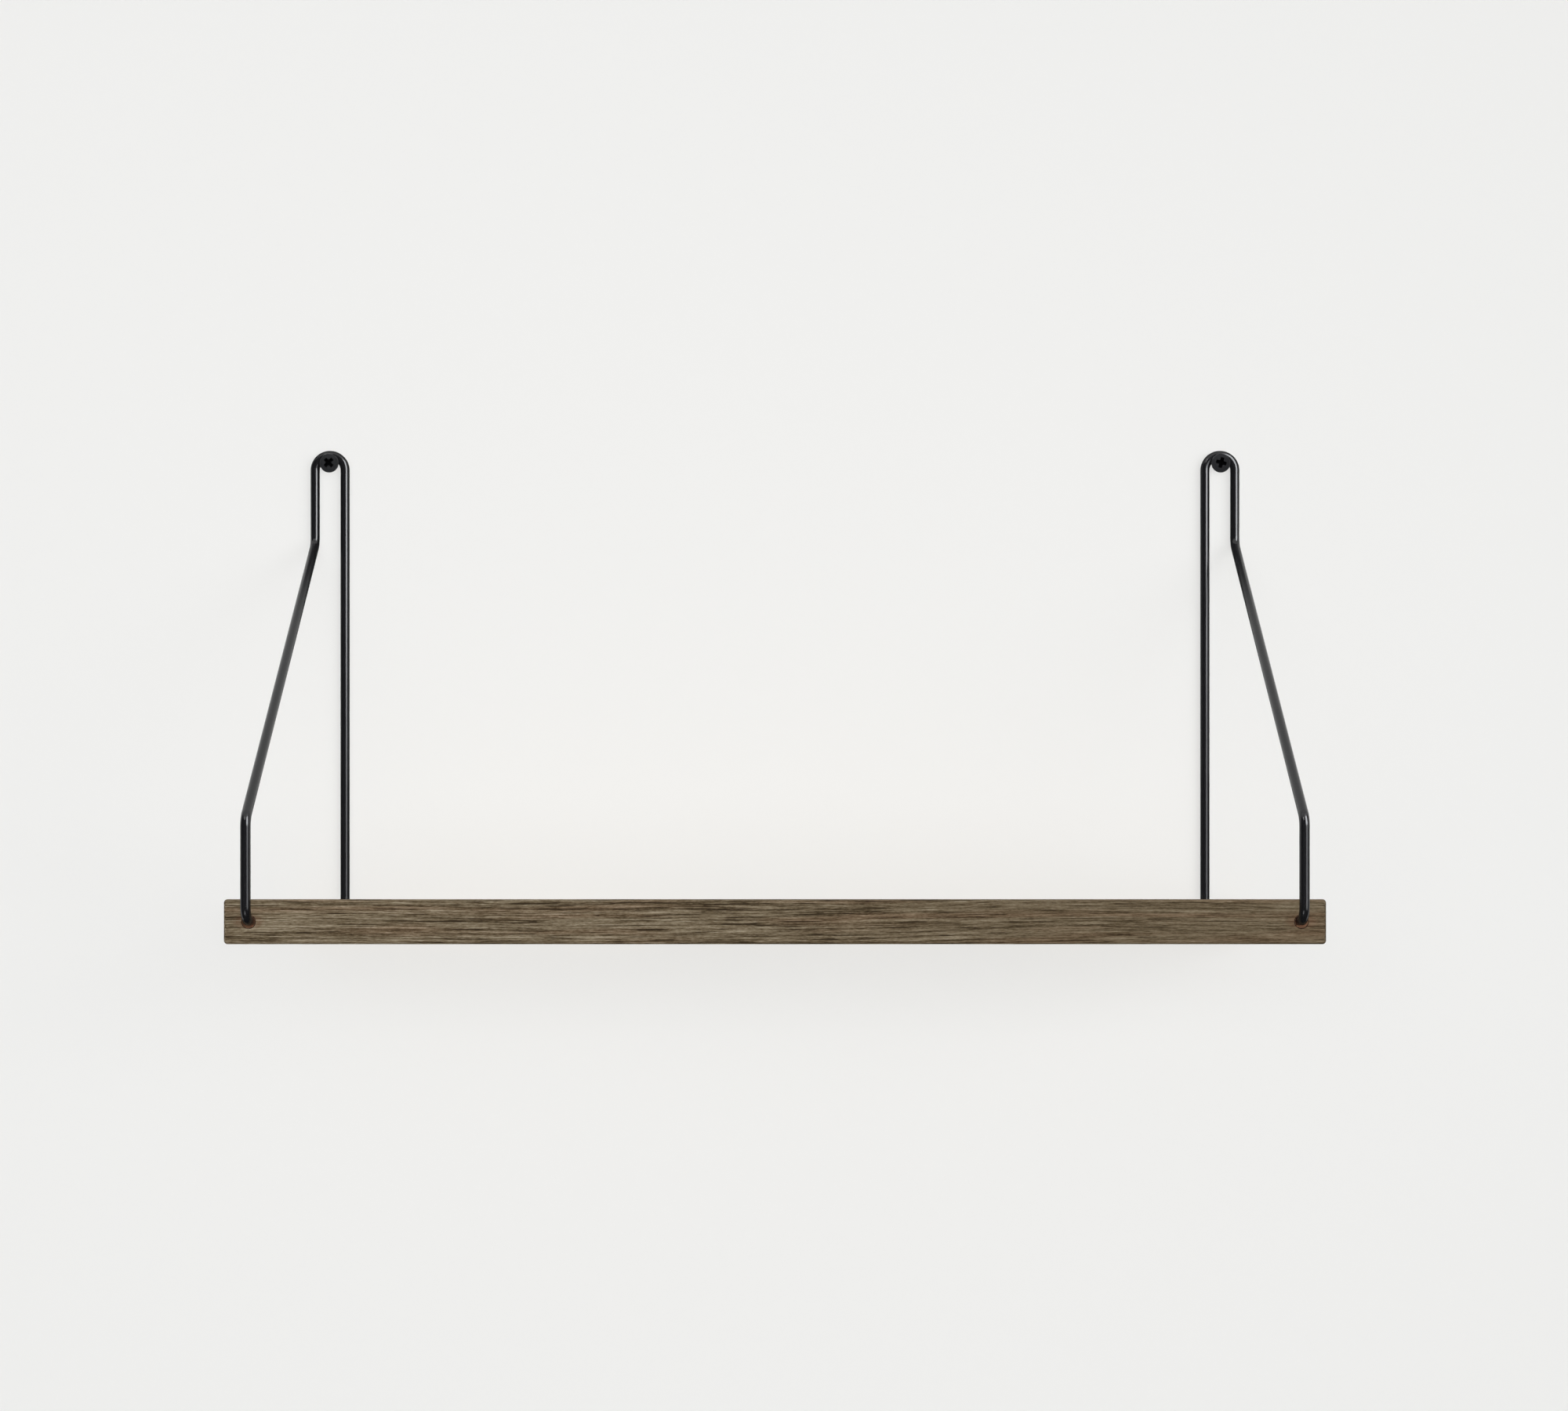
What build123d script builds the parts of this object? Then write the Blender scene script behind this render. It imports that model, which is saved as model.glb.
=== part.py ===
from build123d import *
import os
from math import sqrt

# Wall shelf: an oak board carried by two bent wire hangers that hook over two screws in the wall.
# Frame: millimetres, X to the right along the wall, Y into the wall, Z up. The origin lies on the
# wall's face, midway between the axes of the two screws.

# Board of edge-glued oak staves
board_length = 600.0
board_depth = 200.0
board_thickness = 24.5
stave_count = 5
edge_round = 2.0

# Wire hangers
wire_diameter = 5.6
hanger_inset = 23.0           # from each end of the board in to the middle of the loop
board_drop = 271.8            # from the screws' axes down to the top of the board
upper_bend_drop = 50.0        # from the screws' axes down to where the outer leg turns forward
lower_bend_rise = 43.7        # from the top of the board up to where the slanted run turns down
end_bend_radius = 8.2         # centreline of the bends into the board
slant_bend_radius = 10.0      # centreline of the two bends of the slanted run
pin_length = 25.0             # how far each end reaches into the board

# Bores in the board's long edges, with the pins seated against their upper side
bore_play = 1.4               # bore diameter over wire diameter
bore_end_gap = 5.0            # bore depth over pin length
pin_seat_gap = 0.05

# Screws
neck_diameter = 4.6           # smooth, from the head to the wall's face
thread_diameter = 5.0
screw_length = 50.0           # under the head
point_length = 5.0
head_diameter = 11.8
head_height = 3.0
head_rim = 0.8
recess_span = 8.2             # on the level of the head's top
recess_blade = 1.7
recess_depth = 2.6
recess_floor = 3.2
left_recess_turn = 45.0
right_recess_turn = 15.0

# Where hanger and screw meet
loop_seat_gap = 0.3           # over the neck
head_gap = 0.5                # between the wire and the back of the head
head_pass_gap = 0.6           # on each side of the head, when the loop passes over it

# Worked out from the sizes above
wire_radius = wire_diameter / 2
neck_radius = neck_diameter / 2
thread_radius = thread_diameter / 2
head_radius = head_diameter / 2
loop_radius = head_radius + head_pass_gap + wire_radius
loop_centre = neck_radius + loop_seat_gap + wire_radius - loop_radius
wall_leg_y = -wire_radius
board_back = wall_leg_y - end_bend_radius
board_front = board_back - board_depth
front_leg_y = board_front - end_bend_radius
board_top = -board_drop
board_middle = board_top - board_thickness / 2
bore_radius = wire_radius + bore_play / 2
pin_height = board_middle + bore_radius - wire_radius - pin_seat_gap
bore_depth = pin_length + bore_end_gap
loop_x = board_length / 2 - hanger_inset
inner_leg_x = loop_x - loop_radius
outer_leg_x = loop_x + loop_radius
head_back = wire_diameter + head_gap


def make_board():
    """The whole board, rounded on every edge, with two blind bores in its front edge and two in its back."""
    middle = (board_front + board_back) / 2
    board = Pos(0, middle, board_middle) * Box(board_length, board_depth, board_thickness)
    board = fillet(board.edges(), edge_round)
    drill = Rot(X=90) * Cylinder(bore_radius, 2 * bore_depth)
    for side in (-1, 1):
        board -= Pos(side * outer_leg_x, board_front, board_middle) * drill
        board -= Pos(side * inner_leg_x, board_back, board_middle) * drill
    return board


def make_stave(board, number):
    """One stave of the board, counted from the front edge."""
    width = board_depth / stave_count
    middle = board_front + (number - 0.5) * width
    return board & Pos(0, middle, board_middle) * Box(board_length, width, board_thickness)


def make_hanger():
    """The right-hand hanger: one wire, from its pin in the back of the board over the loop to its front pin."""
    back_pin_end = (inner_leg_x, board_back - pin_length, pin_height)
    inner_leg_foot = (inner_leg_x, wall_leg_y, pin_height)
    inner_leg_top = (inner_leg_x, wall_leg_y, loop_centre)
    loop_top = (loop_x, wall_leg_y, loop_centre + loop_radius)
    outer_leg_top = (outer_leg_x, wall_leg_y, loop_centre)
    upper_bend = (outer_leg_x, wall_leg_y, -upper_bend_drop)
    lower_bend = (outer_leg_x, front_leg_y, board_top + lower_bend_rise)
    front_leg_foot = (outer_leg_x, front_leg_y, pin_height)
    front_pin_end = (outer_leg_x, board_front + pin_length, pin_height)

    wall_run = FilletPolyline(back_pin_end, inner_leg_foot, inner_leg_top, radius=end_bend_radius)
    loop = ThreePointArc(inner_leg_top, loop_top, outer_leg_top)
    front_run = FilletPolyline(
        outer_leg_top,
        upper_bend,
        lower_bend,
        front_leg_foot,
        front_pin_end,
        radius=[slant_bend_radius, slant_bend_radius, end_bend_radius],
    )
    line = Wire(wall_run.edges() + loop.edges() + front_run.edges())
    section = Plane(origin=back_pin_end, z_dir=(0, 1, 0)) * Circle(wire_radius)
    return sweep(section, path=line)


def make_screw(turn):
    """A screw along Z with its head up, z = 0 at the wall's face, and its cross recess turned by so many degrees."""
    point = head_back - screw_length
    shoulder = head_back + head_rim
    top = head_back + head_height
    dome_height = head_height - head_rim
    dome_radius = (head_radius**2 + dome_height**2) / (2 * dome_height)
    half = head_radius / 2
    dome_middle = top - dome_radius + sqrt(dome_radius**2 - half**2)
    sides = Polyline(
        (0, top),
        (0, point),
        (thread_radius, point + point_length),
        (thread_radius, 0),
        (neck_radius, 0),
        (neck_radius, head_back),
        (head_radius, head_back),
        (head_radius, shoulder),
    )
    dome = ThreePointArc((head_radius, shoulder), (half, dome_middle), (0, top))
    body = revolve(Plane.XZ * make_face([sides, dome]), Axis.Z)
    blade = Box(recess_span, recess_blade, recess_depth, align=(Align.CENTER, Align.CENTER, Align.MAX))
    cross = blade + Rot(Z=90) * blade
    funnel = Cone(recess_floor / 2, recess_span / 2, recess_depth, align=(Align.CENTER, Align.CENTER, Align.MAX))
    recess = Pos(0, 0, top) * Rot(Z=turn) * (cross & funnel)
    return body - recess


def in_wall(side, piece):
    """Turns a piece made along Z to point its top out of the wall, in the left (-1) or the right (1) loop."""
    return Pos(side * loop_x, 0, 0) * Rot(X=90) * piece


board = make_board()
hanger = make_hanger()
parts = {
    "hanger_left": mirror(hanger, about=Plane.YZ),
    "hanger_right": hanger,
    "wall_screws": in_wall(-1, make_screw(left_recess_turn)) + in_wall(1, make_screw(right_recess_turn)),
}
for number in range(1, stave_count + 1):
    parts[f"board_stave_{number}"] = make_stave(board, number)

os.makedirs("parts", exist_ok=True)
for name, piece in parts.items():
    export_step(piece, f"parts/{name}.step")
    box = piece.bounding_box()
    print(name, "volume", round(piece.volume, 1), "low", box.min, "high", box.max)
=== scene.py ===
import math

import bmesh
import bpy
from bmesh.types import BMEdge, BMVert
from mathutils import Matrix, Vector


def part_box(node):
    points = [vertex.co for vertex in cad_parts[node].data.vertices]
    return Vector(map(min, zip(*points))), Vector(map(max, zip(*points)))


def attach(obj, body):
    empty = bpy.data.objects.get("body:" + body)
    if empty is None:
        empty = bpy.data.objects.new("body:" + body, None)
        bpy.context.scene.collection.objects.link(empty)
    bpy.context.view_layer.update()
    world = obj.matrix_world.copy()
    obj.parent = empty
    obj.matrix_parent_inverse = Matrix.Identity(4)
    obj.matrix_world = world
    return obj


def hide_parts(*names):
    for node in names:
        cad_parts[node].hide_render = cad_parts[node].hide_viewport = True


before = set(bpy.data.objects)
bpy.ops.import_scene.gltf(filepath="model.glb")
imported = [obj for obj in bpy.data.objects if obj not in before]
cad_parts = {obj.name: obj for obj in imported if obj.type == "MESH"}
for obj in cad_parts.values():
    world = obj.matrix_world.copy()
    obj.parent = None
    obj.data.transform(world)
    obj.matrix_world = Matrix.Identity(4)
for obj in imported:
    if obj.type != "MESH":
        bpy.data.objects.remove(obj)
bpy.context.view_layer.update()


# The board: five staves of oak, glued edge to edge, planed, rounded over and finished with a dark oil.
# The front and the back stave each have two blind bores in the long edge, drilled after oiling, so
# that their walls are raw wood. Every stave comes from another plank and has its own run of rings.

class Socket:
    """One socket of a material's nodes. A sum written with it adds the Math nodes that work it out."""

    def __init__(self, tree, socket=None):
        self.tree = tree
        self.socket = socket

    def node(self, kind, settings=None, values=None, output=0):
        """Adds a node of any kind, with its settings made first and then its values or links."""
        made = self.tree.nodes.new(kind)
        for name, value in (settings or {}).items():
            if name == "stops":
                ramp = made.color_ramp
                for at, colour in value[1:-1]:
                    ramp.elements.new(at).color = colour
                ramp.elements[0].position, ramp.elements[0].color = value[0]
                ramp.elements[-1].position, ramp.elements[-1].color = value[-1]
            else:
                setattr(made, name, value)
        for name, value in (values or {}).items():
            socket = self.pick(made.inputs, name)
            if isinstance(value, Socket):
                self.tree.links.new(value.socket, socket)
            else:
                socket.default_value = value
        return Socket(self.tree, self.pick(made.outputs, output) if made.outputs else None)

    def pick(self, sockets, name):
        """A socket by its number, or by its name among those that the node's settings leave in use."""
        if isinstance(name, int):
            return sockets[name]
        return next(s for s in sockets if s.enabled and s.name == name)

    def combine(self, operation, first, second):
        """One Math node with two values."""
        return self.node("ShaderNodeMath", {"operation": operation}, {0: first, 1: second})

    def __abs__(self):
        return self.node("ShaderNodeMath", {"operation": "ABSOLUTE"}, {0: self})

    def __add__(self, other):
        return self.combine("ADD", self, other)

    def __radd__(self, other):
        return self.combine("ADD", other, self)

    def __sub__(self, other):
        return self.combine("SUBTRACT", self, other)

    def __rsub__(self, other):
        return self.combine("SUBTRACT", other, self)

    def __mul__(self, other):
        return self.combine("MULTIPLY", self, other)

    def __rmul__(self, other):
        return self.combine("MULTIPLY", other, self)

    def __truediv__(self, other):
        return self.combine("DIVIDE", self, other)


def new_material(name):
    """An empty material, and a first Socket to add its nodes with."""
    material = bpy.data.materials.new(name)
    material.use_nodes = True
    material.node_tree.nodes.clear()
    return material, Socket(material.node_tree)


def finish_surface(start, values):
    """The Principled surface of a material, from its values and links."""
    surface = start.node("ShaderNodeBsdfPrincipled", {}, values)
    start.node("ShaderNodeOutputMaterial", {}, {"Surface": surface})


def in_millimetres(start):
    """Where a point of the piece lies, in millimetres."""
    place = start.node("ShaderNodeTexCoord", {}, {}, "Object")
    return start.node("ShaderNodeVectorMath", {"operation": "SCALE"}, {0: place, "Scale": 1000.0})


def coordinate(place, axis):
    """The x, y or z of a place, asked for as 0, 1 or 2."""
    return place.node("ShaderNodeSeparateXYZ", {}, {0: place}, axis)


def distance(first, second):
    """How far away a point is that lies so far off in one direction and so far in the other."""
    squares = first * first + second * second
    return first.node("ShaderNodeMath", {"operation": "SQRT"}, {0: squares})


def noise(point, size, detail=2.0, roughness=0.5, output="Fac"):
    """Noise whose grains measure about size along x, y and z."""
    scaled = point.node("ShaderNodeVectorMath", {"operation": "DIVIDE"}, {0: point, 1: size})
    values = {"Vector": scaled, "Scale": 1.0, "Detail": detail, "Roughness": roughness}
    return point.node("ShaderNodeTexNoise", {}, values, output)


def between(value, low, high):
    """0 up to low, 1 from high on, and a smooth rise from one to the other."""
    values = {"Value": value, "From Min": low, "From Max": high}
    return value.node("ShaderNodeMapRange", {"interpolation_type": "SMOOTHSTEP"}, values)


def blend(factor, first, second, kind="MIX"):
    """The first colour, and the second where the factor is 1."""
    settings = {"data_type": "RGBA", "blend_type": kind}
    return factor.node("ShaderNodeMix", settings, {"Factor": factor, "A": first, "B": second}, "Result")


def moved(point, shift, size):
    """The point, pushed about by a colour noise by up to half of size each way."""
    centred = point.node("ShaderNodeVectorMath", {"operation": "SUBTRACT"}, {0: shift, 1: (0.5, 0.5, 0.5)})
    settings = {"operation": "MULTIPLY_ADD"}
    return point.node("ShaderNodeVectorMath", settings, {0: centred, 1: size, 2: point})


def tone(red, green, blue):
    """A colour given as eight-bit display values, made linear."""
    shares = [value / 255 for value in (red, green, blue)]
    linear = [part / 12.92 if part < 0.04045 else ((part + 0.055) / 1.055) ** 2.4 for part in shares]
    return (*linear, 1.0)


hanger_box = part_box("hanger_right")
wire_radius = 0.0028
front_bore_x = (hanger_box[1].x - wire_radius) * 1000
back_bore_x = (hanger_box[0].x + wire_radius) * 1000
board_low, board_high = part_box("board_stave_1")
board_end = board_high.x * 1000
bore_z = (board_low.z + board_high.z) / 2 * 1000
bore_radius = 3.5
ring_width = 2.5
plank_apart = 1370.0
oak_tones = [
    (0.0, tone(49, 39, 25)),
    (0.22, tone(77, 65, 46)),
    (0.5, tone(106, 93, 73)),
    (0.76, tone(128, 116, 95)),
    (1.0, tone(152, 141, 121)),
]
red_tint = tone(255, 225, 216)
raw_oak = tone(222, 172, 138)
stained_oak = tone(112, 74, 56)
# The ring round each bore's mouth: partly drill burn, partly painted shade of the bore's edge.
burn_and_shade_rim = tone(26, 14, 9)
end_tint = tone(178, 168, 156)


def oiled_oak(number, pith, slope, shade, calm_from, bore_x=None):
    """The oak of one stave. The pith is its tree's centre, in y and z from the middle of the stave."""
    material, start = new_material(f"oiled_oak_{number}")
    place = in_millimetres(start)
    low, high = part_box(f"board_stave_{number}")
    middle = (low + high) / 2 * 1000
    shift = (number * plank_apart, -middle.y, -middle.z)
    mapping = {"Vector": place, "Location": shift, "Rotation": slope}
    plank = start.node("ShaderNodeMapping", {}, mapping)
    sway = noise(plank, (330.0, 90.0, 90.0), 1.0, 0.5, "Color")
    plank = moved(plank, sway, (0.0, 5.0, 5.0))
    plank = moved(plank, noise(plank, (80.0, 12.0, 12.0), 2.0, 0.5, "Color"), (0.0, 1.0, 1.0))

    trunk = moved(plank, sway, (0.0, 17.0, 17.0))
    across = {0: trunk, 1: (0.0, 1.0, 1.0), 2: (0.0, -pith[0], -pith[1])}
    across = start.node("ShaderNodeVectorMath", {"operation": "MULTIPLY_ADD"}, across)
    from_pith = start.node("ShaderNodeVectorMath", {"operation": "LENGTH"}, {0: across}, "Value")
    rings = from_pith / ring_width + noise(plank, (420.0, 7.0, 7.0), 1.0) * 1.6
    year = start.node("ShaderNodeMath", {"operation": "FLOOR"}, {0: rings})
    season = rings - year
    year_strength = start.node("ShaderNodeTexWhiteNoise", {"noise_dimensions": "1D"}, {"W": year}, "Value")
    spring = between(season, -0.04, 0.07) * (1 - between(season, 0.16, 0.52))

    along = coordinate(place, 0)
    from_middle = abs(along)
    end_grain = between(from_middle, board_end - 1.1, board_end - 0.05)
    broad = noise(plank, (260.0, 6.5, 6.5), 1.0)
    clouds = noise(plank, (28.0, 2.8, 2.8), 2.0)
    bands = noise(plank, (190.0, 0.9, 0.9), 2.0, 0.6)
    streaks = noise(plank, (34.0, 0.72, 0.72), 4.0, 0.7)
    fibres = noise(plank, (9.0, 0.36, 0.36), 3.0, 0.6)
    flecks = noise(plank, (2.4, 0.55, 0.55), 2.0, 0.6)
    vessels = noise(plank, (6.0, 0.30, 0.30), 1.0)
    pores = between(vessels, 0.56, 0.68) * (0.22 + spring * 0.78)
    dark_lines = between(noise(plank, (30.0, 0.7, 0.7), 1.0), 0.57, 0.67)

    figure = (bands - 0.5) * 1.0 + (streaks - 0.5) * 1.5 + (fibres - 0.5) * 1.3 + (flecks - 0.5) * 0.95
    figure = figure + (broad - 0.5) * 0.5 + (clouds - 0.5) * 0.55
    figure = figure - spring * (0.04 + year_strength * 0.18) - pores * 0.22 - dark_lines * 0.46
    calm = between(along, calm_from, calm_from + 260.0)
    # The stave also grows a little darker from about calm_from on, towards its right end.
    dim = between(along, calm_from - 60.0, calm_from + 120.0)
    wood = 0.6 + shade - dim * 0.12 + figure * (1 - calm * 0.3) - end_grain * spring * 0.22
    oak = start.node("ShaderNodeValToRGB", {"stops": oak_tones}, {"Fac": wood}, "Color")
    reddish = between(noise(plank, (120.0, 5.0, 5.0), 1.0), 0.46, 0.72)
    oak = blend(reddish * 0.4, oak, red_tint, "MULTIPLY")
    oak = blend(end_grain * 0.4, oak, end_tint, "MULTIPLY")

    rough = 0.54 + pores * 0.16 + end_grain * 0.12 - (broad - 0.5) * 0.12
    height = (fibres - 0.5) * 0.5 - pores * 0.8 - spring * 0.25
    if bore_x:
        up = coordinate(place, 2) - bore_z
        out = from_middle - bore_x
        from_bore = distance(up, out)
        from_stain = distance(up, out * 0.4472)
        oak = blend((1 - between(from_stain, 2.4, 4.6)) * 0.25, oak, stained_oak)
        uneven = between(noise(place, (2.6, 2.6, 2.6), 2.0), 0.30, 0.52)
        # A dark ring round the bore's mouth, partly drill burn and partly painted shade of the bore's edge.
        rim = (1 - between(from_bore, bore_radius + 0.38, bore_radius + 0.55)) * (0.7 + uneven * 0.3)
        oak = blend(rim, oak, burn_and_shade_rim)
        wall = 1 - between(from_bore, bore_radius, bore_radius + 0.015)
        oak = blend(wall, oak, raw_oak)
        rough = rough + rim * 0.15

    bump = start.node("ShaderNodeBump", {}, {"Strength": 0.5, "Distance": 0.00015, "Height": height})
    surface = {"Base Color": oak, "Roughness": rough, "Specular IOR Level": 0.3, "Normal": bump}
    finish_surface(start, surface)
    return material


# For each stave: its pith, the slope of its grain, its shade, and where along it the figure grows calm.
planks = {
    1: ((9.0, -74.0), (0.0, 0.006, 0.004), 0.0, -40.0),
    2: ((-22.0, -58.0), (0.0, -0.01, 0.012), 0.035, 90.0),
    3: ((14.0, -96.0), (0.0, 0.004, -0.008), -0.04, -260.0),
    4: ((-6.0, 70.0), (0.0, 0.008, 0.01), 0.02, 150.0),
    5: ((18.0, -66.0), (0.0, -0.005, 0.007), -0.02, -120.0),
}
bores = {1: front_bore_x, 5: back_bore_x}
for number, plank in planks.items():
    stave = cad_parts[f"board_stave_{number}"]
    stave.data.materials.clear()
    stave.data.materials.append(oiled_oak(number, *plank, bores.get(number)))


# The hangers: each is one length of 5.6 mm steel wire, bent cold and lacquered gloss black. From its pin
# in the back of the board it climbs the wall, turns over the screw, comes down a short way, slants
# forward, drops past the front edge and ends in a second pin.

end_bend = 0.0082
slant_bend = 0.010
upper_bend_z = -0.050
lower_bend_z = board_high.z + 0.0437
pin_reach = 0.025
wire_sides = 48
bend_steps = 20
loop_steps = 48
same_point = 0.000002
upright = Matrix.Rotation(math.pi / 2, 4, "X")


def of_kind(parts, *kinds):
    """The vertices, edges or faces among some parts of a mesh."""
    return [part for part in parts if isinstance(part, kinds)]


def run(mesh, section, step):
    """Draws the wire's section out along a straight run."""
    made = bmesh.ops.extrude_edge_only(mesh, edges=of_kind(section, BMEdge))["geom"]
    bmesh.ops.translate(mesh, verts=of_kind(made, BMVert), vec=step)
    return of_kind(made, BMVert, BMEdge)


def bend(mesh, section, centre, axis, angle, steps):
    """Turns the wire's section round a bend."""
    turn = {"cent": centre, "axis": axis, "dvec": (0, 0, 0), "angle": angle, "steps": steps}
    made = bmesh.ops.spin(mesh, geom=section, use_merge=False, use_duplicate=False, **turn)
    return of_kind(made["geom_last"], BMVert, BMEdge)


def make_piece(name, mesh, material, crease=35):
    """A finished piece from a bmesh, smooth but for the edges sharper than the crease, in degrees."""
    bmesh.ops.remove_doubles(mesh, verts=mesh.verts, dist=same_point)
    bmesh.ops.recalc_face_normals(mesh, faces=mesh.faces)
    data = bpy.data.meshes.new(name)
    mesh.to_mesh(data)
    mesh.free()
    data.shade_smooth()
    data.set_sharp_from_angle(angle=math.radians(crease))
    data.materials.append(material)
    piece = bpy.data.objects.new(name, data)
    bpy.context.scene.collection.objects.link(piece)
    return piece


def make_hanger(side):
    """The wire of one hanger, from its back pin to its front pin. The side is 1 for right, -1 for left."""
    inner_x = hanger_box[0].x + wire_radius
    outer_x = hanger_box[1].x - wire_radius
    loop_radius = (outer_x - inner_x) / 2
    loop_x = (outer_x + inner_x) / 2
    loop_z = hanger_box[1].z - wire_radius - loop_radius
    wall_y = hanger_box[1].y - wire_radius
    front_y = hanger_box[0].y + wire_radius
    pin_z = hanger_box[0].z + wire_radius
    slant = math.atan2(wall_y - front_y, upper_bend_z - lower_bend_z)
    cut = slant_bend * math.tan(slant / 2)
    rise = Vector((0, -math.sin(slant), -math.cos(slant)))

    mesh = bmesh.new()
    back_end = Matrix.Translation((inner_x, wall_y - end_bend - pin_reach, pin_z)) @ upright
    bmesh.ops.create_circle(mesh, cap_ends=False, radius=wire_radius, segments=wire_sides, matrix=back_end)
    first = mesh.edges[:]
    section = mesh.verts[:] + mesh.edges[:]
    section = run(mesh, section, (0, pin_reach, 0))
    foot = (inner_x, wall_y - end_bend, pin_z + end_bend)
    section = bend(mesh, section, foot, (1, 0, 0), math.pi / 2, bend_steps)
    section = run(mesh, section, (0, 0, loop_z - pin_z - end_bend))
    section = bend(mesh, section, (loop_x, wall_y, loop_z), (0, 1, 0), math.pi, loop_steps)
    upper_start = upper_bend_z + cut
    section = run(mesh, section, (0, 0, upper_start - loop_z))
    upper_centre = (outer_x, wall_y - slant_bend, upper_start)
    section = bend(mesh, section, upper_centre, (1, 0, 0), -slant, bend_steps)
    upper_end = Vector((outer_x, wall_y, upper_bend_z)) + rise * cut
    lower_start = Vector((outer_x, front_y, lower_bend_z)) - rise * cut
    section = run(mesh, section, lower_start - upper_end)
    lower_end = lower_bend_z - cut
    lower_centre = (outer_x, front_y + slant_bend, lower_end)
    section = bend(mesh, section, lower_centre, (1, 0, 0), slant, bend_steps)
    section = run(mesh, section, (0, 0, pin_z + end_bend - lower_end))
    foot = (outer_x, front_y + end_bend, pin_z + end_bend)
    section = bend(mesh, section, foot, (1, 0, 0), math.pi / 2, bend_steps)
    section = run(mesh, section, (0, pin_reach, 0))
    bmesh.ops.contextual_create(mesh, geom=first)
    bmesh.ops.contextual_create(mesh, geom=of_kind(section, BMEdge))
    if side < 0:
        bmesh.ops.scale(mesh, vec=(-1, 1, 1), verts=mesh.verts)
    return mesh


def black_wire():
    """Gloss black lacquer, a little uneven, and rubbed where the loop hangs on its screw."""
    material, start = new_material("black_wire")
    place = in_millimetres(start)
    flow = noise(place, (3.5, 3.5, 9.0), 2.0)
    specks = noise(place, (0.28, 0.28, 0.28), 1.0)
    from_screw = distance(abs(coordinate(place, 0)) - loop_middle_x, coordinate(place, 2))
    rubbed = (1 - between(from_screw, 2.9, 4.6)) * between(specks, 0.40, 0.60)
    lacquer = blend(between(specks, 0.35, 0.75), tone(20, 20, 22), tone(30, 30, 32))
    lacquer = blend(rubbed * 0.8, lacquer, tone(92, 90, 88))
    gloss = 0.16 + flow * 0.06 + rubbed * 0.2
    bump = start.node("ShaderNodeBump", {}, {"Strength": 0.35, "Distance": 0.00004, "Height": flow})
    finish_surface(start, {"Base Color": lacquer, "Roughness": gloss, "IOR": 1.5, "Normal": bump})
    return material


loop_middle_x = (front_bore_x + back_bore_x) / 2
wire_finish = black_wire()
for side, name in ((-1, "left"), (1, "right")):
    hanger = make_piece(f"wire_hanger_{name}", make_hanger(side), wire_finish)
    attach(hanger, "shelf")
    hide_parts(f"hanger_{name}")


# The screws: two domed black wood screws, driven level into the wall, each with a cross recess, a smooth
# neck that the loop hangs on, and a rolled thread that runs out to the point inside the wall.

screw_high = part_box("wall_screws")[1]
head_radius = screw_high.z
head_under = -0.0061
head_top = head_under - 0.003
rim_height = 0.0008
neck_radius = 0.0023
core_radius = 0.0017
thread_radius = 0.0025
point_length = 0.005
thread_pitch = 0.0021
thread_start = 0.0004
thread_half_foot = 0.0006
neck_end = -0.0005
core_start = 0.0012
recess_span = 0.0077
recess_blade = 0.0023
recess_depth = 0.0026
recess_floor_taper = (0.52, 1.0, 0.8)
recess_mouth_taper = (1.48, 1.0, 1.2)
edge_bevel = {"offset": 0.00022, "affect": "EDGES", "segments": 3, "profile": 0.5, "material": -1}
dome_steps = 12
lathe_steps = 72
thread_steps = 24
dome_height = head_under - rim_height - head_top
dome_radius = (head_radius**2 + dome_height**2) / (2 * dome_height)


def on_head_edge(edge):
    """Whether an edge of the screw's body runs round the widest part of the head."""
    first, last = edge.verts
    widest = all(abs(math.hypot(vert.co.x, vert.co.z) - head_radius) < 1e-5 for vert in edge.verts)
    return widest and abs(first.co.y - last.co.y) < 1e-6


def make_screw_body():
    """Head, neck and core of a screw whose axis is the Y axis, with no recess and no thread yet."""
    mesh = bmesh.new()
    dome_angle = math.asin(head_radius / dome_radius)
    pole = bmesh.ops.create_vert(mesh, co=(0, head_top, 0))["vert"]
    centre = (0, head_top + dome_radius, 0)
    turn = {"cent": centre, "axis": (0, 0, 1), "dvec": (0, 0, 0), "angle": dome_angle}
    turn["steps"] = dome_steps
    spun = bmesh.ops.spin(mesh, geom=pole, use_merge=False, use_duplicate=False, **turn)
    last = of_kind(spun["geom_last"], BMVert)[0]
    profile = [
        (head_radius, head_under),
        (neck_radius, head_under),
        (neck_radius, neck_end),
        (core_radius, core_start),
        (core_radius, screw_high.y - point_length),
        (0.0, screw_high.y),
    ]
    for radius, y in profile:
        made = bmesh.ops.extrude_vert_indiv(mesh, verts=[last])
        bmesh.ops.translate(mesh, verts=made["verts"], vec=Vector((radius, y, 0)) - last.co)
        last = made["verts"][0]
    turn = {"cent": (0, 0, 0), "axis": (0, 1, 0), "dvec": (0, 0, 0), "angle": 2 * math.pi}
    turn["steps"] = lathe_steps
    bmesh.ops.spin(mesh, geom=mesh.verts[:] + mesh.edges[:], use_merge=True, use_duplicate=False, **turn)
    bmesh.ops.remove_doubles(mesh, verts=mesh.verts, dist=same_point)
    bmesh.ops.recalc_face_normals(mesh, faces=mesh.faces)
    rim = [edge for edge in mesh.edges if on_head_edge(edge)]
    bmesh.ops.bevel(mesh, geom=rim, **edge_bevel)
    return mesh


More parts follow.
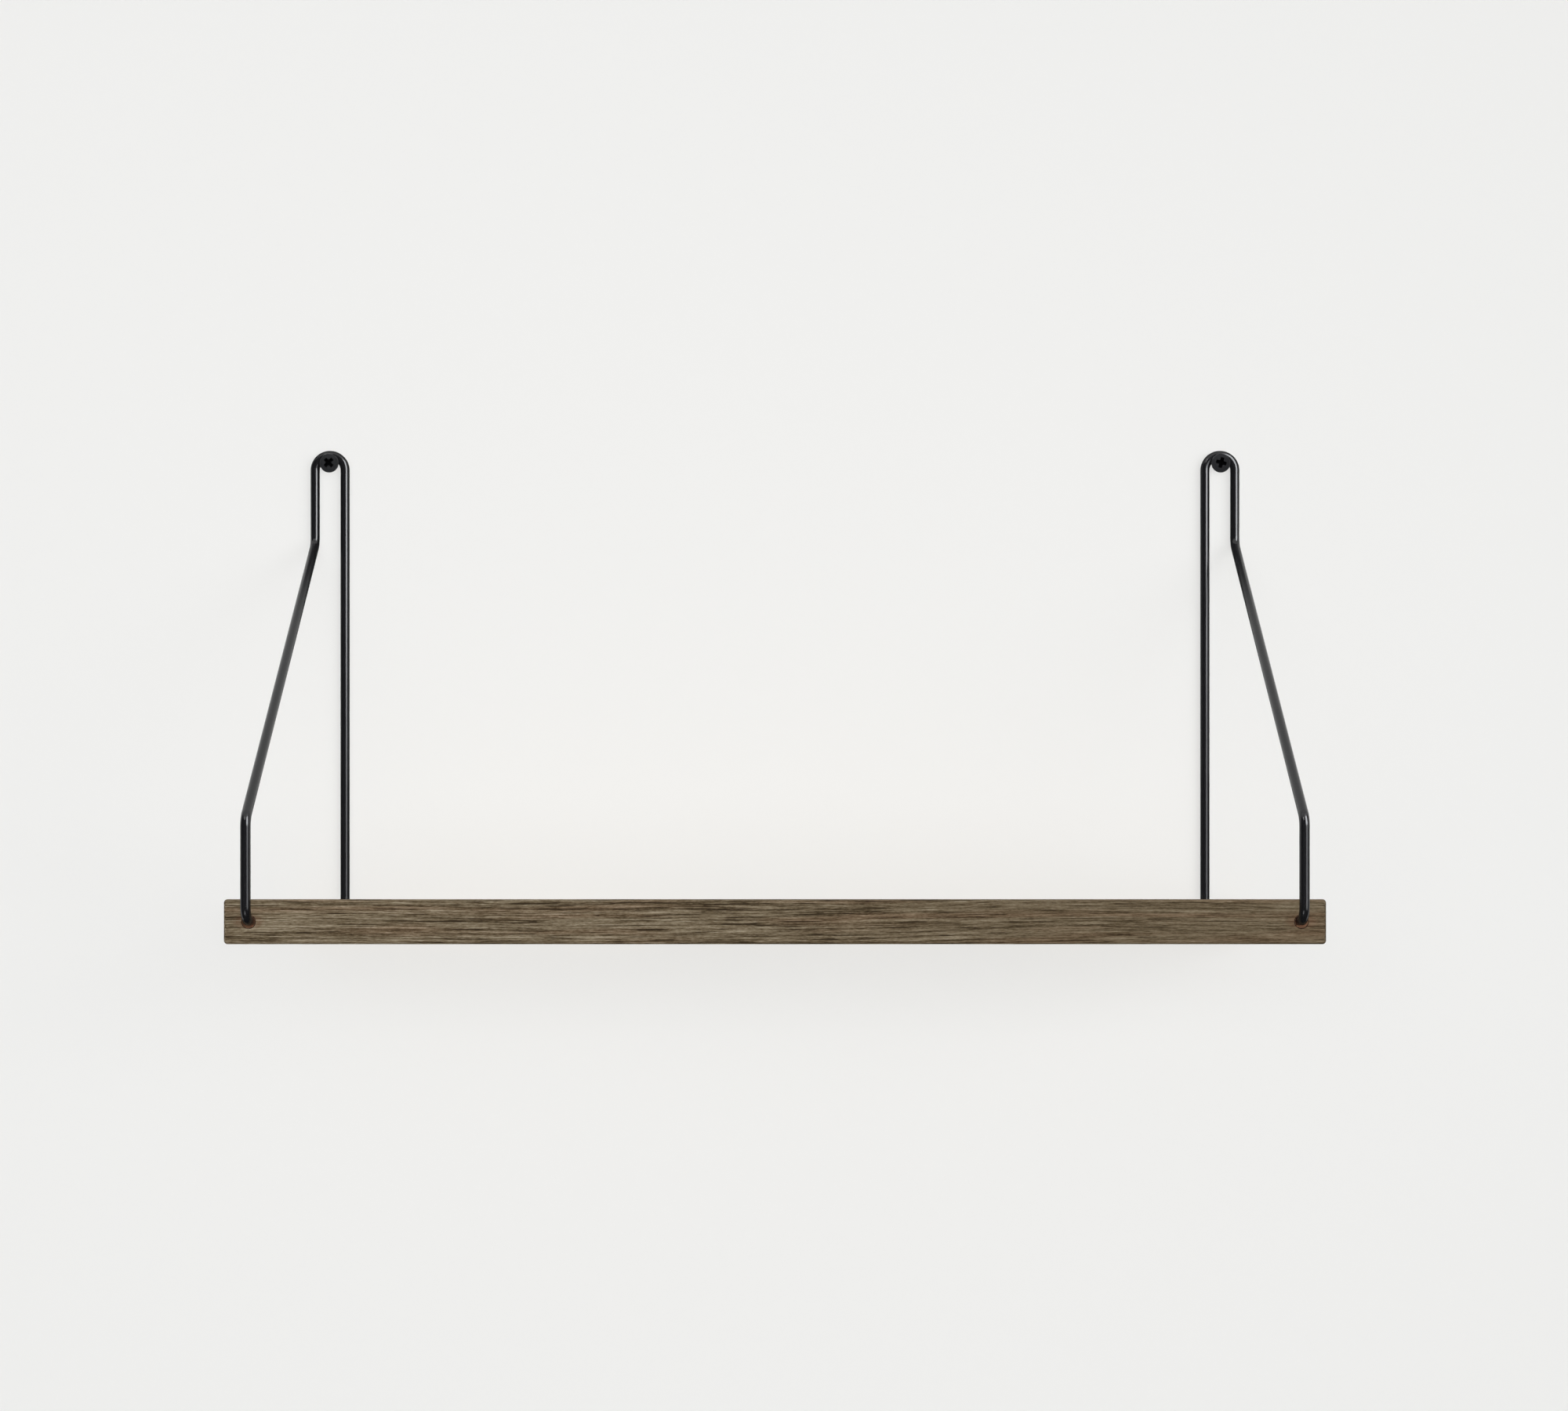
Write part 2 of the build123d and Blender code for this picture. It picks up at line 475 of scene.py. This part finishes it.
def add_thread(mesh):
    """The helix of the thread, which dies out at the neck and at the point."""
    length = screw_high.y - thread_half_foot - thread_start
    turns = length / thread_pitch
    foot_radius = core_radius * 0.8
    triangle = [
        (foot_radius, thread_start - thread_half_foot, 0),
        (thread_radius, thread_start, 0),
        (foot_radius, thread_start + thread_half_foot, 0),
    ]
    corners = [bmesh.ops.create_vert(mesh, co=corner)["vert"][0] for corner in triangle]
    face = bmesh.ops.contextual_create(mesh, geom=corners)["faces"]
    ring = corners + list(face[0].edges)
    steps = int(turns * thread_steps)
    turn = {"cent": (0, 0, 0), "axis": (0, 1, 0), "angle": turns * 2 * math.pi, "steps": steps}
    turn["dvec"] = (0, length / steps, 0)
    before = set(mesh.verts) - set(corners)
    made = bmesh.ops.spin(mesh, geom=ring, use_merge=False, use_duplicate=False, **turn)
    bmesh.ops.contextual_create(mesh, geom=of_kind(made["geom_last"], BMEdge))
    for vert in set(mesh.verts) - before:
        to_point = max(screw_high.y - vert.co.y, 0.0) / point_length
        from_neck = 0.55 + 0.45 * min(max(vert.co.y, 0.0) / 0.002, 1.0)
        size = min(to_point, from_neck, 1.0)
        vert.co.x *= size
        vert.co.z *= size
    return mesh


def cut_recess(body, turn):
    """Cuts the cross recess, turned by so many degrees: two tapered blades and a round middle."""
    tools = []
    for angle in (0, 90):
        tool = bmesh.new()
        bmesh.ops.create_cube(tool, size=1.0)
        bmesh.ops.scale(tool, vec=(recess_span, 2 * recess_depth, recess_blade), verts=tool.verts)
        deep = [vert for vert in tool.verts if vert.co.y > 0]
        above = [vert for vert in tool.verts if vert.co.y < 0]
        bmesh.ops.scale(tool, vec=recess_floor_taper, verts=deep)
        bmesh.ops.scale(tool, vec=recess_mouth_taper, verts=above)
        ends = [edge for edge in tool.edges if edge.verts[0].co.y * edge.verts[1].co.y < 0]
        bmesh.ops.bevel(tool, geom=ends, **edge_bevel)
        quarter = Matrix.Rotation(math.radians(angle), 3, "Y")
        bmesh.ops.rotate(tool, cent=(0, 0, 0), matrix=quarter, verts=tool.verts)
        tools.append(tool)
    tool = bmesh.new()
    cone = {"radius1": recess_blade * 1.15, "radius2": recess_blade * 0.5, "depth": 2 * recess_depth * 1.08}
    bmesh.ops.create_cone(tool, cap_ends=True, segments=24, matrix=upright.inverted(), **cone)
    tools.append(tool)
    about = Matrix.Rotation(math.radians(turn), 3, "Y")
    for index, tool in enumerate(tools):
        bmesh.ops.rotate(tool, cent=(0, 0, 0), matrix=about, verts=tool.verts)
        bmesh.ops.translate(tool, verts=tool.verts, vec=(0, head_top, 0))
        data = bpy.data.meshes.new(f"recess_tool_{index}")
        tool.to_mesh(data)
        tool.free()
        cutter = bpy.data.objects.new(f"recess_tool_{index}", data)
        bpy.context.scene.collection.objects.link(cutter)
        cut = body.modifiers.new("recess", "BOOLEAN")
        cut.operation = "DIFFERENCE"
        cut.solver = "EXACT"
        cut.object = cutter
        bpy.context.view_layer.update()
        carved = body.evaluated_get(bpy.context.evaluated_depsgraph_get())
        old, body.data = body.data, bpy.data.meshes.new_from_object(carved)
        body.modifiers.clear()
        bpy.data.objects.remove(cutter)
        bpy.data.meshes.remove(old)


def black_screw():
    """Satin black, worn a little on the rim, with painted shade that makes the recess near black."""
    material, start = new_material("black_screw")
    place = in_millimetres(start)
    patches = noise(place, (2.2, 2.2, 2.2), 3.0, 0.6)
    specks = noise(place, (0.22, 0.22, 0.22), 2.0)
    depth = coordinate(place, 1)
    from_axis = distance(abs(coordinate(place, 0)) - loop_middle_x, coordinate(place, 2))
    worn = between(from_axis, 5.1, 5.9) * between(patches, 0.44, 0.62) * 0.6
    black = blend(between(specks, 0.35, 0.7), tone(34, 34, 36), tone(50, 51, 53))
    black = blend(worn, black, tone(88, 88, 90))
    under = head_under * 1000
    # Painted shade: inside the recess, below the dome's surface, the colour goes near black.
    below_dome = depth - head_top * 1000 - from_axis * from_axis * (0.0005 / dome_radius)
    painted_recess_shade = between(below_dome, 0.12, 0.4) * (1 - between(from_axis, 4.2, 4.4))
    painted_recess_shade = painted_recess_shade * (1 - between(depth, under - 0.15, under - 0.02))
    black = blend(painted_recess_shade, black, tone(4, 4, 5))
    threads = between(depth, 0.0, 1.5)
    black = blend(threads * 0.5, black, tone(52, 52, 54))
    rough = 0.48 + patches * 0.16 - threads * 0.08
    bump = start.node("ShaderNodeBump", {}, {"Strength": 0.4, "Distance": 0.00003, "Height": specks})
    surface = {"Base Color": black, "Roughness": rough, "Specular IOR Level": 0.1, "Normal": bump}
    finish_surface(start, surface)
    return material


screw_finish = black_screw()
for side, name, turn in ((-1, "left", 45), (1, "right", 15)):
    blank = make_piece("screw_blank", make_screw_body(), screw_finish, 30)
    cut_recess(blank, turn)
    mesh = bmesh.new()
    mesh.from_mesh(blank.data)
    bpy.data.objects.remove(blank)
    add_thread(mesh)
    bmesh.ops.translate(mesh, verts=mesh.verts, vec=(side * loop_middle_x / 1000, 0, 0))
    screw = make_piece(f"screw_{name}", mesh, screw_finish, 30)
    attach(screw, "screws")
    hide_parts("wall_screws")


# The stage: a plain pale wall that the shelf hangs on and a pale floor. The wall is seen from its front
# alone, so that the back of the shelf shows when the camera goes behind it.

def plain_paint(name, colour, front_only):
    """Matt paint, and nothing at all on the back of a wall."""
    material, start = new_material(name)
    paint = start.node("ShaderNodeBsdfDiffuse", {}, {"Color": colour})
    if front_only:
        behind = start.node("ShaderNodeNewGeometry", {}, {}, "Backfacing")
        clear = start.node("ShaderNodeBsdfTransparent")
        paint = start.node("ShaderNodeMixShader", {}, {0: behind, 1: paint, 2: clear})
    start.node("ShaderNodeOutputMaterial", {}, {"Surface": paint})
    return material


def seen_directly(start):
    """1 for what the camera sees, itself, in a reflection or through glass."""
    camera_ray = start.node("ShaderNodeLightPath", {}, {}, "Is Camera Ray")
    glossy_ray = start.node("ShaderNodeLightPath", {}, {}, "Is Glossy Ray")
    through_ray = start.node("ShaderNodeLightPath", {}, {}, "Is Transmission Ray")
    return camera_ray + glossy_ray + through_ray


def floor_paint():
    """Pale paint, evenly lit as far as the camera and the reflections can tell."""
    material, start = new_material("floor_paint")
    glow = start.node("ShaderNodeEmission", {}, {"Color": (0.86, 0.86, 0.85, 1), "Strength": 1.0})
    paint = start.node("ShaderNodeBsdfDiffuse", {}, {"Color": (0.82, 0.82, 0.81, 1)})
    mixed = start.node("ShaderNodeMixShader", {}, {0: seen_directly(start), 1: paint, 2: glow})
    start.node("ShaderNodeOutputMaterial", {}, {"Surface": mixed})
    return material


def stage_plane(name, size, place, material):
    """A flat rectangle of the stage, placed by a matrix."""
    mesh = bmesh.new()
    bmesh.ops.create_grid(mesh, x_segments=1, y_segments=1, size=0.5)
    bmesh.ops.scale(mesh, vec=(size[0], size[1], 1), verts=mesh.verts)
    bmesh.ops.transform(mesh, matrix=place, verts=mesh.verts)
    data = bpy.data.meshes.new(name)
    mesh.to_mesh(data)
    mesh.free()
    data.materials.append(material)
    plane = bpy.data.objects.new(name, data)
    bpy.context.scene.collection.objects.link(plane)
    return plane


floor_z = -1.5
wall_size = 5
wall_place = Matrix.Translation((0, 0.0003, floor_z + wall_size / 2)) @ upright
wall_paint = plain_paint("wall_paint", (0.868, 0.868, 0.855, 1), True)
wall = stage_plane("wall", (wall_size, wall_size), wall_place, wall_paint)
wall.visible_shadow = False
floor_place = Matrix.Translation((0, 0, floor_z))
floor = stage_plane("floor", (60, 60), floor_place, floor_paint())
floor.visible_diffuse = False


# The light: soft lamps in front, beside, above and behind, of which two throw no shadow, and a window that
# shows in the wires alone, as a glowing low white card does. Dark cards behind the camera and under the
# board, a dark cloth on the floor and flags on the wall are seen in reflections alone: painted dark
# reflections that keep the lacquer black.

def lamp(name, place, target, size, watts, glossy, shadow):
    """A soft rectangular lamp that points at the target."""
    data = bpy.data.lights.new(name, "AREA")
    data.shape = "RECTANGLE"
    data.size, data.size_y = size
    data.energy = watts
    data.use_shadow = shadow
    made = bpy.data.objects.new(name, data)
    made.location = place
    made.rotation_euler = (Vector(target) - Vector(place)).to_track_quat("-Z", "Y").to_euler()
    made.visible_camera = False
    made.visible_glossy = glossy
    bpy.context.scene.collection.objects.link(made)
    return made


def reflected(name, size, place, material):
    """A rectangle of the stage that is seen in reflections alone."""
    plane = stage_plane(name, size, place, material)
    plane.visible_camera = False
    plane.visible_diffuse = False
    plane.visible_transmission = False
    plane.visible_shadow = False
    return plane


thin_pieces = bpy.data.collections.new("thin_pieces")
wires = bpy.data.collections.new("wires")
for name in ("left", "right"):
    thin_pieces.objects.link(bpy.data.objects[f"screw_{name}"])
    thin_pieces.objects.link(bpy.data.objects[f"wire_hanger_{name}"])
    wires.objects.link(bpy.data.objects[f"wire_hanger_{name}"])

lamp("front_fill", (-0.7, -5.0, -0.35), (0, 0, -0.15), (4.3, 2.9), 229, False, False)
lamp("front_soft", (0, -3.3, 0.15), (0, 0, -0.15), (3.0, 0.9), 5, False, True)
side_fill = lamp("side_fill", (2.3, -2.5, -0.1), (0, 0, -0.15), (2.0, 1.8), 18, False, True)
side_fill.light_linking.blocker_collection = thin_pieces
lamp("overhead", (0, 0.45, 2.0), (0, -0.12, -0.2), (1.8, 0.7), 24, False, True)
lamp("top_light", (-1.1, -2.2, 1.9), (0, 0, -0.1), (0.34, 0.2), 5, True, False)
lamp("back_fill", (-0.4, 2.6, -0.3), (0, 0, -0.2), (2.4, 1.2), 30, False, True)

window_angle = math.radians(46)
window_tint = (0.95, 0.97, 1.0)


def window_glow():
    """The light of a window, much brighter above and narrower below."""
    material, start = new_material("window_glow")
    place = in_millimetres(start)
    height = coordinate(place, 2)
    glow = 2.2 + between(height, -900.0, -300.0) * 0.9 + between(height, 80.0, 280.0) * 8.8
    sill = {0: place, 1: (math.cos(window_angle), math.sin(window_angle), 0)}
    sideways = start.node("ShaderNodeVectorMath", {"operation": "DOT_PRODUCT"}, sill, "Value")
    widening = between(height, 0.0, 400.0) * 300
    glow = glow * between(sideways + widening, -640.0, -560.0)
    glow = start.node("ShaderNodeVectorMath", {"operation": "SCALE"}, {0: window_tint, "Scale": glow})
    light = start.node("ShaderNodeEmission", {}, {"Color": glow, "Strength": 1.0})
    start.node("ShaderNodeOutputMaterial", {}, {"Surface": light})
    return material


def card_glow():
    """A white card that glows evenly, seen in the wires alone."""
    material, start = new_material("low_card")
    light = start.node("ShaderNodeEmission", {}, {"Color": (*window_tint, 1), "Strength": 3.0})
    start.node("ShaderNodeOutputMaterial", {}, {"Surface": light})
    return material


def painted_reflection_flag():
    """Painted dark reflections: soft-edged black patches round the loop, along the inner leg and behind the
    front leg.
    """
    material, start = new_material("painted_reflection_flag")
    place = in_millimetres(start)
    height = coordinate(place, 2)
    side = abs(coordinate(place, 0))
    outward = side - front_bore_x
    patch = (1 - between(height, 45.0, 125.0)) * between(height, -85.0, -45.0)
    patch = patch * (1 - between(outward * -1, 15.0, 80.0))
    patch = patch * (1 - between(outward - height * 0.35, 8.0, 40.0)) * 0.95
    from_inner_leg = abs(side - back_bore_x)
    strip = (1 - between(from_inner_leg, 10.0, 35.0)) * (1 - between(height, -20.0, 10.0)) * 0.93
    low = (1 - between(height, -200.0, -180.0)) * (1 - between(abs(outward), 70.0, 140.0)) * 0.9
    thick = start.combine("MAXIMUM", patch, strip)
    thick = start.combine("MAXIMUM", thick, low)
    clear = start.node("ShaderNodeBsdfTransparent")
    black = start.node("ShaderNodeBsdfDiffuse", {}, {"Color": (0.01, 0.01, 0.01, 1)})
    cloth = start.node("ShaderNodeMixShader", {}, {0: thick, 1: clear, 2: black})
    start.node("ShaderNodeOutputMaterial", {}, {"Surface": cloth})
    return material


window_place = Matrix.Rotation(window_angle, 4, "Z") @ Matrix.Translation((-0.25, -2.4, 0.65)) @ upright
window = reflected("window", (1.7, 3.5), window_place, window_glow())
window.light_linking.receiver_collection = wires
low_card_place = Matrix.Translation((-0.45, -1.4, floor_z + 0.1))
low_card = reflected("low_card", (0.5, 1.1), low_card_place, card_glow())
low_card.light_linking.receiver_collection = wires

for side, name in ((-1, "left"), (1, "right")):
    flag_place = Matrix.Translation((side * front_bore_x / 1000, 0.0001, -0.065)) @ upright
    reflected(f"flag_{name}", (0.30, 0.42), flag_place, painted_reflection_flag())

card_paint = plain_paint("dark_card", (0.02, 0.02, 0.02, 1), False)
for number, angle in enumerate((-60, 0, 60)):
    card_place = Matrix.Rotation(math.radians(angle), 4, "Z") @ Matrix.Translation((0, -3.0, 0.4)) @ upright
    reflected(f"dark_card_{number}", (3.5, 3.8), card_place, card_paint)
under_board = Matrix.Translation((0, -0.16, board_low.z - 0.11))
reflected("dark_card_under", (0.8, 0.3), under_board, card_paint)
above_floor = Matrix.Translation((0, -2.3, floor_z + 0.01))
reflected("dark_cloth", (9, 5.0), above_floor, card_paint)

world = bpy.data.worlds.new("studio")
world.use_nodes = True
world.node_tree.nodes.clear()
sky = Socket(world.node_tree)
backdrop = sky.node("ShaderNodeBackground", {}, {"Color": (0.9, 0.9, 0.89, 1), "Strength": 1.0})
ambient = sky.node("ShaderNodeBackground", {}, {"Color": (1.0, 1.0, 1.0, 1), "Strength": 0.06})
mixed = sky.node("ShaderNodeMixShader", {}, {0: seen_directly(sky), 1: ambient, 2: backdrop})
sky.node("ShaderNodeOutputWorld", {}, {"Surface": mixed})
bpy.context.scene.world = world


# The camera: level and square to the wall, with its eye just under the height of the board's top. The
# picture is shifted up instead of tilting the camera, so that upright lines stay upright.

eye_distance = 1.4327
eye_drop = 0.0055
camera_data = bpy.data.cameras.new("camera")
camera_data.lens = 60.5
camera_data.sensor_width = 36.0
camera_data.shift_x = 0.00575
camera_data.shift_y = 0.13
camera = bpy.data.objects.new("camera", camera_data)
camera.location = (0, board_low.y - eye_distance, board_high.z - eye_drop)
camera.rotation_euler = (math.pi / 2, 0, 0)
bpy.context.scene.collection.objects.link(camera)
bpy.context.scene.camera = camera
bpy.context.scene.view_settings.view_transform = "Standard"
